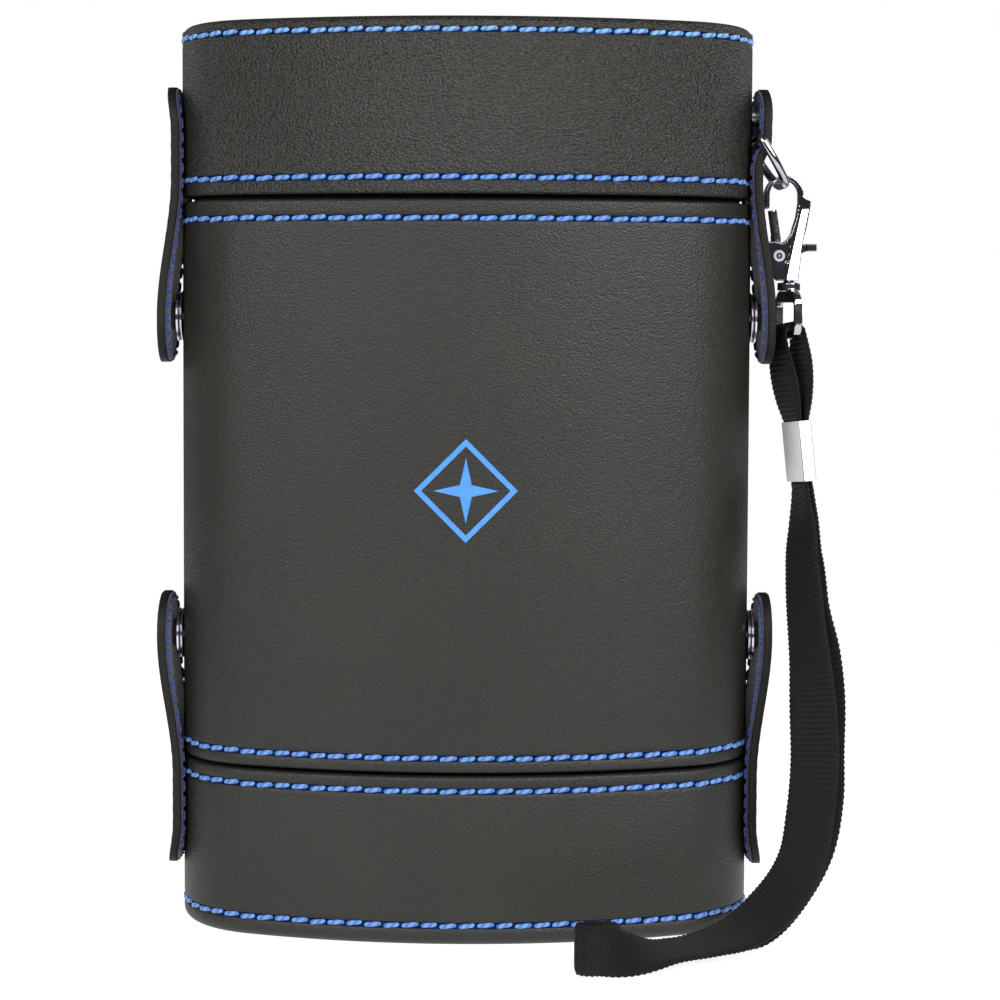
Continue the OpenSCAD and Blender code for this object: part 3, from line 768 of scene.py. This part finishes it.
def end_panel(name, body, end, inward, *nodes):
    """The sewn-in panel of a cap's closed end, with a shallow seam round it."""
    profile = [(14 * MM, 0.9 * MM), (END_SEAM + 0.3 * MM, 0.9 * MM),
               (END_SEAM + 0.05 * MM, 0.5 * MM), (END_SEAM + 0.2 * MM, 0.25 * MM),
               (END_SEAM + 0.7 * MM, 0.04 * MM), (END_SEAM + 1.6 * MM, 0),
               (14 * MM, 0)]
    rings = [oval_ring(inset, end + inward * depth) for inset, depth in profile]
    points, faces = lofted(rings)
    return settle(mesh_object(name, points, faces, END_LEATHER, smooth=50),
                  body, "case_leather", *nodes)


# The top cap wears the lighter copy of the leather: painted light.
cap_cover("top_cap_leather", "top_cap", TOP_RIM, CASE_H, STITCH_ROWS["top_cap"],
          TOP_CAP_LIT_LEATHER, "top_cap_wrap")
cap_cover("bottom_cap_leather", "bottom_cap", CAP_H, 0, STITCH_ROWS["bottom_cap"],
          CASE_LEATHER, "bottom_cap_wrap")
end_panel("top_cap_end_panel", "top_cap", CASE_H, -1, "top_cap_end_leather")
end_panel("bottom_cap_end_panel", "bottom_cap", 0, 1, "bottom_cap_end_leather")


def tube_profile(outer, inner, low, high, radius):
    return (round_corner(outer + radius, low + radius, radius, 270, 180, 4)
            + round_corner(outer + radius, high - radius, radius, 180, 90, 4)
            + round_corner(inner - radius, high - radius, radius, 90, 0, 4)
            + round_corner(inner - radius, low + radius, radius, 0, -90, 4))


def oval_tube(name, outer, inner, low, high, radius, body, material, slot, *nodes):
    return oval_shell(name, tube_profile(outer, inner, low, high, radius), body,
                      material, slot, *nodes)


CAP_IN = 2.2 * MM
oval_tube("body_turned_edge", LEATHER, NECK_OUT, BODY_LOW, BODY_HIGH, 0.4 * MM,
          "case_body", TURNED_EDGE, "board", "body_core")
oval_tube("neck_lining", NECK_OUT, NECK_IN, NECK_LOW, NECK_HIGH, 0.7 * MM,
          "case_body", FLOCK_AND_GAP_SHADE, "flock", "neck_liner")
for cap, low, high, liner_low, liner_high in (
        ("top_cap", TOP_RIM, CASE_H - LEATHER, *[b.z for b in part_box("top_cap_liner")]),
        ("bottom_cap", LEATHER, CAP_H, *[b.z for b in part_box("bottom_cap_liner")])):
    oval_tube(f"{cap}_turned_edge", LEATHER, CAP_IN, low, high, 0.4 * MM, cap,
              TURNED_EDGE, "board", f"{cap}_core")
    oval_tube(f"{cap}_lining", CAP_IN, NECK_IN, liner_low, liner_high, 0.4 * MM, cap,
              FLOCK_AND_GAP_SHADE, "flock", f"{cap}_liner")


# ---------------------------------------------------------------- stitches

STITCH_PITCH = 3.86 * MM
STITCH_LONG = 3.7 * MM
STITCH_R = 0.5 * MM
STITCH_TILT = 0.22 * MM


def stitch(heap, bend, side, number, long, radius):
    """One stitch: a thread that rises out of its hole, lies along and dips again.
    bend(along) gives the surface's point and outward direction at a distance along."""
    steps, round_steps = 8, 8
    rings, uvs = [], []
    lean = 1 + 0.25 * math.sin(number * 2.4)
    for i in range(steps + 1):
        share = i / steps * 2 - 1
        place, normal = bend(share * long / 2)
        swell = math.sqrt(max(0.0, 1 - share**4))
        rise = radius * (0.95 * swell - 0.62)
        place = place + normal * rise + side * (share * STITCH_TILT * lean)
        thick = radius * (0.42 + 0.58 * swell)
        rings.append([place + side * (thick * math.cos(a)) + normal * (thick * math.sin(a))
                      for a in (2 * math.pi * k / round_steps for k in range(round_steps))])
        uvs += [(k / round_steps * 2, number + i / steps * 4) for k in range(round_steps)]
    points, faces = lofted(rings)
    heap.add(points, faces, uvs)


def stitch_row(name, z, body, material):
    """A row of stitches once round the case at height z."""
    heap = Heap()
    count = round(OVAL_LENGTH / STITCH_PITCH)
    for number in range(count):
        shift = 0.12 * MM * math.sin(number * 1.7 + z * 900)

        def bend(along, start=number * OVAL_LENGTH / count, height=z + shift):
            place, normal, _ = oval_frame(start + along)
            return place - normal * ROW_GROOVE + Vector((0, 0, height)), normal

        stitch(heap, bend, Vector((0, 0, 1)), number,
               STITCH_LONG * (1 + 0.05 * math.sin(number * 3.1)), STITCH_R)
    return settle(heap.make(name, material, smooth=None), body, "case_leather")


def stitch_painted_shadow(name, z, body):
    """A dark band of painted shadow round and between a row of stitches, where they sink in.
    """
    across = [(0.5, -0.5), (0.16, -0.68), (0.26, -0.45), (0.36, 0), (0.26, 0.45),
              (0.16, 0.68), (0.5, 0.5)]
    return oval_shell(name, [(inset * MM, z + up * MM) for inset, up in across], body,
                      STITCH_PAINTED_SHADOW, "case_leather")


for body, rows in STITCH_ROWS.items():
    for place, z in zip(("lower", "upper"), rows):
        # The top cap's upper row gets the lighter copy of the thread: painted light.
        thread = THREAD_PAINTED_LIGHT if (body, place) == ("top_cap", "upper") else THREAD
        stitch_row(f"{body}_{place}_stitches", z, body, thread)
        # Each row gets its band of painted shadow.
        stitch_painted_shadow(f"{body}_{place}_stitch_painted_shadow", z, body)


# ---------------------------------------------------------------- straps

STRAP_W = 20 * MM
STRAP_END_R = 8 * MM
PLY = 1.05 * MM
SKIN_GAP = 0.05 * MM
STRAP_FIXED = 19.8 * MM
STRAP_FREE = 38.7 * MM
SNAP_REACH = 29 * MM
LEAN = 2.3 * MM
HUG = 0.31
RAISED = 1.75 * MM
STRAPS = {
    # corner: (side, turned over, front edge cupped outwards, base tip lifted, fixed end
    # shortened, free end shortened)
    "bottom_right": (1, False, 0, 0.9 * MM, 0, 0.9 * MM),
    "bottom_left": (-1, False, 0.3 * MM, 0.8 * MM, 0, 0.9 * MM),
    "top_right": (1, True, 0.1 * MM, -0.9 * MM, 0.8 * MM, 0),
    "top_left": (-1, True, 0.1 * MM, 0.6 * MM, 0.8 * MM, 0),
}


class Strap:
    """Maps strap coordinates to space. v runs from the fixed end to the free end, u across
    from front (-) to back (+), and t out from the inner face."""

    def __init__(self, side, over, cup, lift, fixed_cut, free_cut):
        self.side, self.over, self.cup, self.lift = side, over, cup, lift
        self.fixed_cut = fixed_cut
        self.squeeze = 1 - (fixed_cut + free_cut) / (STRAP_FIXED + STRAP_FREE)

    def __call__(self, v, u, t):
        z = FOLD_LOW - STRAP_FIXED + self.fixed_cut + v * self.squeeze
        share = (z - FOLD_LOW) / SNAP_REACH
        lean = LEAN * ease(share)
        hug = HUG * (1 - ease(share)) * ease(v / (10 * MM))
        sag = SIDE_R + SKIN_GAP - math.sqrt((SIDE_R + SKIN_GAP)**2 - u * u)
        cup = self.cup * ease(share) * (max(0.0, -u) / (STRAP_W / 2))**1.6
        tip = self.lift * max(0.0, 1 - v / (9 * MM))**2
        if self.side > 0 and self.over:
            tip += RAISED * ease((FOLD_LOW - 2.6 * MM - z) / (5.2 * MM))
        x = SIDE_X + SKIN_GAP + lean + cup + tip - sag * hug
        angle = math.asin(u / (SIDE_R + SKIN_GAP)) * hug
        x += t * math.cos(angle)
        y = u + t * math.sin(angle)
        if self.over:
            z = CASE_H - z
        return Vector((self.side * x, y, z))


def strap_half_width(v, inset=0.0):
    """Half of the strap's width at v, with its rounded ends."""
    half = STRAP_W / 2 - inset
    radius = STRAP_END_R - inset
    end = min(v, STRAP_FIXED + STRAP_FREE - v) - inset
    if end >= radius:
        return half
    return half - radius + math.sqrt(max(0.0, radius**2 - (radius - end)**2))


def strap_rows(inset=0.0):
    """Distances along the strap for its cross sections, closer together at the ends."""
    full = STRAP_FIXED + STRAP_FREE
    ends = [STRAP_END_R * (1 - math.cos(math.pi / 2 * i / 8)) for i in range(8)]
    middle = [STRAP_END_R + (full - 2 * STRAP_END_R) * i / 34 for i in range(35)]
    rows = ends + middle + [full - e for e in reversed(ends)]
    return [min(max(v, inset), full - inset) for v in rows]


def strap_ply(name, strap, low, high, edge, inset, material):
    """One ply of a strap as a closed sheet with rounded edges."""
    rings = []
    across = 12
    for v in strap_rows(inset):
        half = max(strap_half_width(v, inset), 0.6 * MM)
        inner = [(half * (j / across * 2 - 1), low) for j in range(across + 1)]
        soft = min(edge, half * 0.4)
        inner[0], inner[-1] = (-half + soft, low), (half - soft, low)
        rim = [(half - soft * 0.3, low + edge * 0.3), (half, low + edge),
               (half, high - edge), (half - soft * 0.3, high - edge * 0.3)]
        outer = [(-u, high) for u, _ in inner]
        other = [(-u, low + high - t) for u, t in rim]
        rings.append([strap(v, u, t) for u, t in inner + rim + outer + other])
    points, faces = lofted(rings)
    return mesh_object(name, points, faces, material, smooth=50)


def strap_outline(inset):
    """Points (v, u) once round the strap at an inset, and the outline's whole length."""
    full = STRAP_FIXED + STRAP_FREE
    half, radius = STRAP_W / 2 - inset, STRAP_END_R - inset
    points = []
    for cv, cu, start in ((full - STRAP_END_R, half - radius, 0),
                          (full - STRAP_END_R, radius - half, -90),
                          (STRAP_END_R, radius - half, -180),
                          (STRAP_END_R, half - radius, -270)):
        for k in range(13):
            a = math.radians(start + 90 - 90 * k / 12)
            points.append((cv + radius * math.cos(a), cu + radius * math.sin(a)))
    points.append(points[0])
    lengths = [0.0]
    for (a, b), (c, d) in zip(points, points[1:]):
        lengths.append(lengths[-1] + math.hypot(c - a, d - b))
    return points, lengths


def strap_stitches(name, strap, inset, top, bottom):
    """Stitches round the strap on its inner and its outer face."""
    points, lengths = strap_outline(inset)
    count = round(lengths[-1] / (3.2 * MM))
    heap = Heap()

    def at(distance):
        distance %= lengths[-1]
        k = max(i for i, value in enumerate(lengths[:-1]) if value <= distance)
        share = (distance - lengths[k]) / max(lengths[k + 1] - lengths[k], 1e-9)
        (a, b), (c, d) = points[k], points[k + 1]
        return a + (c - a) * share, b + (d - b) * share

    for face, sign in ((top, 1), (bottom, -1)):
        for number in range(count):
            start = lengths[-1] * (number + (0.5 if sign < 0 else 0)) / count

            def bend(along, start=start, face=face, sign=sign):
                v, u = at(start + along)
                place = strap(v, u, face)
                out = (strap(v, u, face + 0.1 * MM * sign) - place).normalized()
                return place, out

            _, out = bend(0)
            ahead = (bend(0.3 * MM)[0] - bend(-0.3 * MM)[0]).normalized()
            stitch(heap, bend, ahead.cross(out) * 0.4, number, 2.8 * MM, 0.42 * MM)
    # The straps' stitches wear the darker copy of the thread: painted shade.
    return heap.make(name, THREAD_PAINTED_SHADE, smooth=None)


for corner, values in STRAPS.items():
    strap = Strap(*values)
    cap, side = corner.split("_")
    leather = strap_ply(f"{corner}_strap_leather", strap, 0.4 * MM, 2 * PLY, 0.35 * MM,
                        0, STRAP_LEATHER)
    lining = strap_ply(f"{corner}_strap_backing", strap, 0, 0.42 * MM, 0.15 * MM,
                       0.25 * MM, STRAP_LINING)
    thread = strap_stitches(f"{corner}_strap_stitches", strap, 1.15 * MM,
                            2 * PLY - 0.5 * MM, 0)
    for piece in (leather, lining, thread):
        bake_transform(piece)
    settle(leather, None, "strap_leather", f"{corner}_strap_base", f"{corner}_strap")
    settle(lining, None, "strap_lining", f"{corner}_strap_base_lining",
           f"{corner}_strap_lining")
    settle(thread, None, "strap_leather")


# ---------------------------------------------------------------- snaps

SNAP_HEIGHTS = (FOLD_LOW + SNAP_REACH, FOLD_HIGH - SNAP_REACH)
STUD_PROFILE = [(0.0, 5.0), (0.0, 5.3), (0.18, 5.3), (0.42, 5.1), (0.5, 4.7), (0.42, 4.2),
                (0.34, 3.2), (0.4, 2.6), (0.75, 2.0), (1.1, 1.62), (1.4, 1.7), (1.7, 1.9),
                (1.86, 1.75), (1.9, 1.2), (1.9, 0.05)]
SOCKET_PROFILE = [(0.58, 2.1), (0.55, 2.6), (0.55, 4.6), (0.6, 5.0), (0.8, 5.25),
                  (1.1, 5.3), (1.35, 5.1), (1.45, 4.5), (1.5, 3.6), (1.75, 3.1),
                  (2.1, 2.95), (2.5, 2.9), (2.9, 2.7), (3.05, 2.2), (3.05, 0.05)]


def across_x(side, z):
    """Turned parts stand on the case's side, with their axis along X."""
    return (Matrix.Translation((side * SIDE_X, 0, z))
            @ Matrix.Rotation(side * math.pi / 2, 4, "Y"))


def turned_heap(heap, profile, matrix):
    heap.add(*lathe([(h * MM, r * MM) for h, r in profile], matrix))


heap = Heap()
for side in (-1, 1):
    for z in SNAP_HEIGHTS:
        turned_heap(heap, STUD_PROFILE, across_x(side, z))
settle(heap.make("snap_studs_turned", SNAP_METAL), "case_body", "snap_metal", "snap_studs")

for corner, (side, over, *_) in STRAPS.items():
    heap = Heap()
    turned_heap(heap, SOCKET_PROFILE, across_x(side, SNAP_HEIGHTS[1 if over else 0]))
    settle(heap.make(f"{corner}_snap_socket", SNAP_METAL), f"{corner}_flap",
           "snap_metal", f"{corner}_socket")


# ---------------------------------------------------------------- ring, clasp and eye

def ring_arc(sign, radius, z, degrees):
    """Points round one corner of the ring; 0 degrees is straight up, 90 outwards."""
    return [Vector((0, sign * (RING_HALF - radius + radius * math.sin(a)),
                    z + radius * math.cos(a))) for a in map(math.radians, degrees)]


ring_path = [Vector((0, RING_HALF * share, 0)) for share in (-0.8, -0.4, 0, 0.4, 0.8)]
ring_path += ring_arc(1, RING_BEND, -RING_BEND, (15, 40, 65, 90))
ring_path += ring_arc(1, RING_CORNER, -RING_SIDE, range(90, 181, 9))
ring_path += ring_arc(-1, RING_CORNER, -RING_SIDE, range(180, 89, -9))
ring_path += ring_arc(-1, RING_BEND, -RING_BEND, (90, 65, 40, 15))
heap = Heap()
heap.add(*swept(ring_path, circle_outline(WIRE_R), up=Vector((1, 0, 0))))
ring = heap.make("d_ring_wire", CHROME)
ring.data.transform(Matrix.Translation((BAR_X, 0, BAR_Z))
                    @ Matrix.Rotation(-RING_LEAN, 4, "Y"))
settle(ring, "ring", "chrome", "d_ring")


def bevelled(node, width, material):
    """Keeps a CAD node, softens its edges and gives it a material."""
    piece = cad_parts[node]
    soften = piece.modifiers.new("soften", "BEVEL")
    soften.width = width
    soften.segments = 3
    soften.limit_method = "ANGLE"
    soften.angle_limit = math.radians(35)
    soften.harden_normals = False
    paint(node, material)


def paint(node, material):
    """Puts a material on a CAD node's object."""
    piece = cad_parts[node]
    if not piece.material_slots:
        piece.data.materials.append(material)
    for slot in piece.material_slots:
        slot.link = "OBJECT"
        slot.material = material


def cast(node, voxel, rounds, material):
    """Rounds a CAD node's edges all over, as on a tumbled casting."""
    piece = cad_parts[node]
    skin = piece.modifiers.new("cast", "REMESH")
    skin.mode = "VOXEL"
    skin.voxel_size = voxel
    skin.use_smooth_shade = True
    soften = piece.modifiers.new("tumbled", "SMOOTH")
    soften.factor = 0.5
    soften.iterations = rounds
    paint(node, material)


cast("hook_body", 0.12 * MM, 14, CLASP_SHADED_CHROME)
cast("gate_lever", 0.1 * MM, 5, CHROME)
cast("swivel_eye", 0.13 * MM, 14, CHROME)
# The pin's rolled ends carry painted highlight and painted shade from their material.
bevelled("gate_pin", 0.1 * MM, RIVET_PAINTED_LIGHT)
paint("gate_spring", CHROME)
bevelled("ring_rivet", 0.12 * MM, SNAP_METAL)


# ---------------------------------------------------------------- ferrule and webbing

SWIVEL_X = 1.65 * MM
FOOT_Z = -20.2 * MM
BAR_DROP = -11.45 * MM
EYE_TURN = math.radians(102)
SLANT = (Matrix.Translation(WIRE + Vector((SWIVEL_X, 0, FOOT_Z + BAR_DROP)))
         @ Matrix.Rotation(math.radians(-5.5), 4, "Y")
         @ Matrix.Rotation(math.radians(-3), 4, "X")
         @ Matrix.Rotation(EYE_TURN, 4, "Z"))
FERRULE_TOP, FERRULE_LOW = -18.4 * MM, -31.2 * MM
FERRULE_W, FERRULE_T = 11.2 * MM, 3.0 * MM


def rounded_rectangle(width, depth, radius, steps=5):
    points = []
    for cx, cy, start in ((1, 1, 0), (-1, 1, 90), (-1, -1, 180), (1, -1, 270)):
        for k in range(steps + 1):
            a = math.radians(start + 90 * k / steps)
            points.append((cx * (width / 2 - radius) + radius * math.cos(a),
                           cy * (depth / 2 - radius) + radius * math.sin(a)))
    return points


ferrule_wall = [(0.35, FERRULE_LOW), (0.1, FERRULE_LOW + 0.08 * MM),
                (0, FERRULE_LOW + 0.3 * MM), (0, FERRULE_TOP - 0.3 * MM),
                (0.1, FERRULE_TOP - 0.08 * MM), (0.35, FERRULE_TOP),
                (0.45, FERRULE_TOP - 0.3 * MM), (0.45, FERRULE_LOW + 0.3 * MM)]
rings = [[Vector((x, y, z)) for x, y in
          rounded_rectangle(FERRULE_W - 2 * inset * MM, FERRULE_T - 2 * inset * MM,
                            (0.6 - min(inset, 0.3)) * MM)] for inset, z in ferrule_wall]
ferrule = mesh_object("ferrule_crimped", *lofted(rings, along=True), FERRULE_PAINTED_LIGHT,
                      smooth=50)
# The rounded corners get the near-black copy of the tin: painted shade.
ferrule.data.materials.append(FERRULE_PAINTED_SHADE)
for face in ferrule.data.polygons:
    if min(abs(face.normal.x), abs(face.normal.y)) > 0.5:
        face.material_index = 1
ferrule.data.transform(SLANT)
settle(ferrule, "eye", "chrome", "ferrule")

LOOP_LINE = [(0.62, -21.5), (0.66, -19.6), (0.9, -17.5), (1.3, -14), (1.7, -10),
             (2.1, -6), (2.25, -2.5)]
LOOP_TWIST = math.radians(14)


def loop_row(y, z):
    """A row of the loop above the ferrule, its webbing twisted a little half-way down."""
    turn = LOOP_TWIST * math.sin(math.pi * min(max((-z - 1) / 18, 0), 1))
    return wide_vector((0, y, z, math.cos(turn), math.sin(turn), 0))


loop_rows = [loop_row(y, z) for y, z in LOOP_LINE]
loop_rows += [loop_row(2.15 * math.cos(a), 2.15 * math.sin(a))
              for a in (math.pi * i / 8 for i in range(9))]
loop_rows += [loop_row(-y, z) for y, z in reversed(LOOP_LINE)]
loop_rows = smooth_rows(loop_rows, RIB_PITCH / RIB_STEPS)
heap = Heap()
heap.add(*ribbon(loop_rows, WEB_W, 1.1 * MM, 0.22 * MM))
upper_loop = heap.make("eye_loop_webbing", WEBBING, smooth=None)
upper_loop.data.transform(SLANT)
settle(upper_loop, "eye", "webbing", "web_upper_loop")


# ---------------------------------------------------------------- front emblem

EMBLEM_Z = 93 * MM
EMBLEM_HALF = 10.5 * MM
EMBLEM_LINE = 1.5 * MM
STAR_LONG = 6.6 * MM
STAR_WAIST = 1.7 * MM


def on_front(x, z, out):
    """A point of the front face, a little out from the leather."""
    radius = LONG_R + out
    return Vector((x, LONG_C - math.sqrt(radius**2 - x * x), z + EMBLEM_Z))


def printed(heap, outer, inner):
    """A thin layer of ink between two outlines."""
    rows = 4
    rings = []
    for out, order in ((0.05 * MM, range(rows + 1)), (-0.02 * MM, range(rows, -1, -1))):
        for k in order:
            share = k / rows
            rings.append([on_front(p[0] + (q[0] - p[0]) * share,
                                   p[1] + (q[1] - p[1]) * share, out)
                          for p, q in zip(outer, inner)])
    heap.add(*lofted(rings, along=True))


def subdivided(corners, steps):
    points = []
    for (a, b), (c, d) in zip(corners, corners[1:] + corners[:1]):
        points += [(a + (c - a) * k / steps, b + (d - b) * k / steps) for k in range(steps)]
    return points


def rhombus(half):
    return subdivided([(half, 0), (0, half), (-half, 0), (0, -half)], 10)


heap = Heap()
printed(heap, rhombus(EMBLEM_HALF), rhombus(EMBLEM_HALF - EMBLEM_LINE))
star = []
for k in range(8):
    size = STAR_LONG if k % 2 == 0 else STAR_WAIST
    a = math.pi / 4 * k
    star.append((size * math.cos(a), size * math.sin(a)))
small = [(x * 0.02, z * 0.02) for x, z in star]
printed(heap, subdivided(star, 6), subdivided(small, 6))
settle(heap.make("front_emblem", INK), "case_body", "case_leather")


# ---------------------------------------------------------------- other CAD nodes

for node, material in (
        ("partition", BOARD), ("dart_holder", FOAM), ("stud_backs", SNAP_METAL),
        ("top_strap_rivets", SNAP_METAL), ("bottom_strap_rivets", SNAP_METAL),
        ("top_cap_board", BOARD), ("bottom_cap_board", BOARD),
        ("top_cap_pad", FLOCK_AND_GAP_SHADE), ("bottom_cap_pad", FLOCK_AND_GAP_SHADE)):
    paint(node, material)


# ---------------------------------------------------------------- floor and light

floor_mesh = bpy.data.meshes.new("floor")
FLOOR_HALF = 0.42
floor_mesh.from_pydata([(-FLOOR_HALF, -FLOOR_HALF, 0), (FLOOR_HALF, -FLOOR_HALF, 0),
                        (FLOOR_HALF, FLOOR_HALF, 0), (-FLOOR_HALF, FLOOR_HALF, 0)],
                       [], [(0, 1, 2, 3)])
floor = bpy.data.objects.new("floor", floor_mesh)
floor.data.materials.append(FLOOR)
COLLECTION.objects.link(floor)


def area_light(name, place, target, size, power):
    data = bpy.data.lights.new(name, "AREA")
    data.energy = power
    data.size = size
    made = bpy.data.objects.new(name, data)
    made.location = place
    aim = Vector(target) - Vector(place)
    made.rotation_euler = aim.to_track_quat("-Z", "Y").to_euler()
    COLLECTION.objects.link(made)


area_light("key_right", (0.58, -0.7, 0.6), (0, 0, 0.16), 0.5, 11.5)
area_light("key_left", (-0.55, -0.75, 0.52), (0, 0, 0.15), 0.5, 7.5)
area_light("front", (0.05, -0.95, 0.5), (0, 0, 0.12), 0.5, 0.8)
area_light("back_left", (-0.8, 0.6, 0.5), (0, 0, 0.1), 0.6, 1.8)
area_light("back_right", (0.8, 0.6, 0.5), (0, 0, 0.1), 0.6, 1.8)

# The studio's walls read as white, but throw only a little light on the object
world = bpy.data.worlds.new("studio")
world.use_nodes = True
world_nodes, world_links = world.node_tree.nodes, world.node_tree.links
sky = world_nodes["Background"]
sky.inputs["Color"].default_value = (1, 1, 1, 1)
rays = world_nodes.new("ShaderNodeLightPath")
level = world_nodes.new("ShaderNodeMapRange")
level.inputs["To Min"].default_value = 0.06
level.inputs["To Max"].default_value = 1.0
world_links.new(rays.outputs["Is Camera Ray"], level.inputs["Value"])
world_links.new(level.outputs["Result"], sky.inputs["Strength"])
bpy.context.scene.world = world
bpy.context.scene.view_settings.view_transform = "Standard"
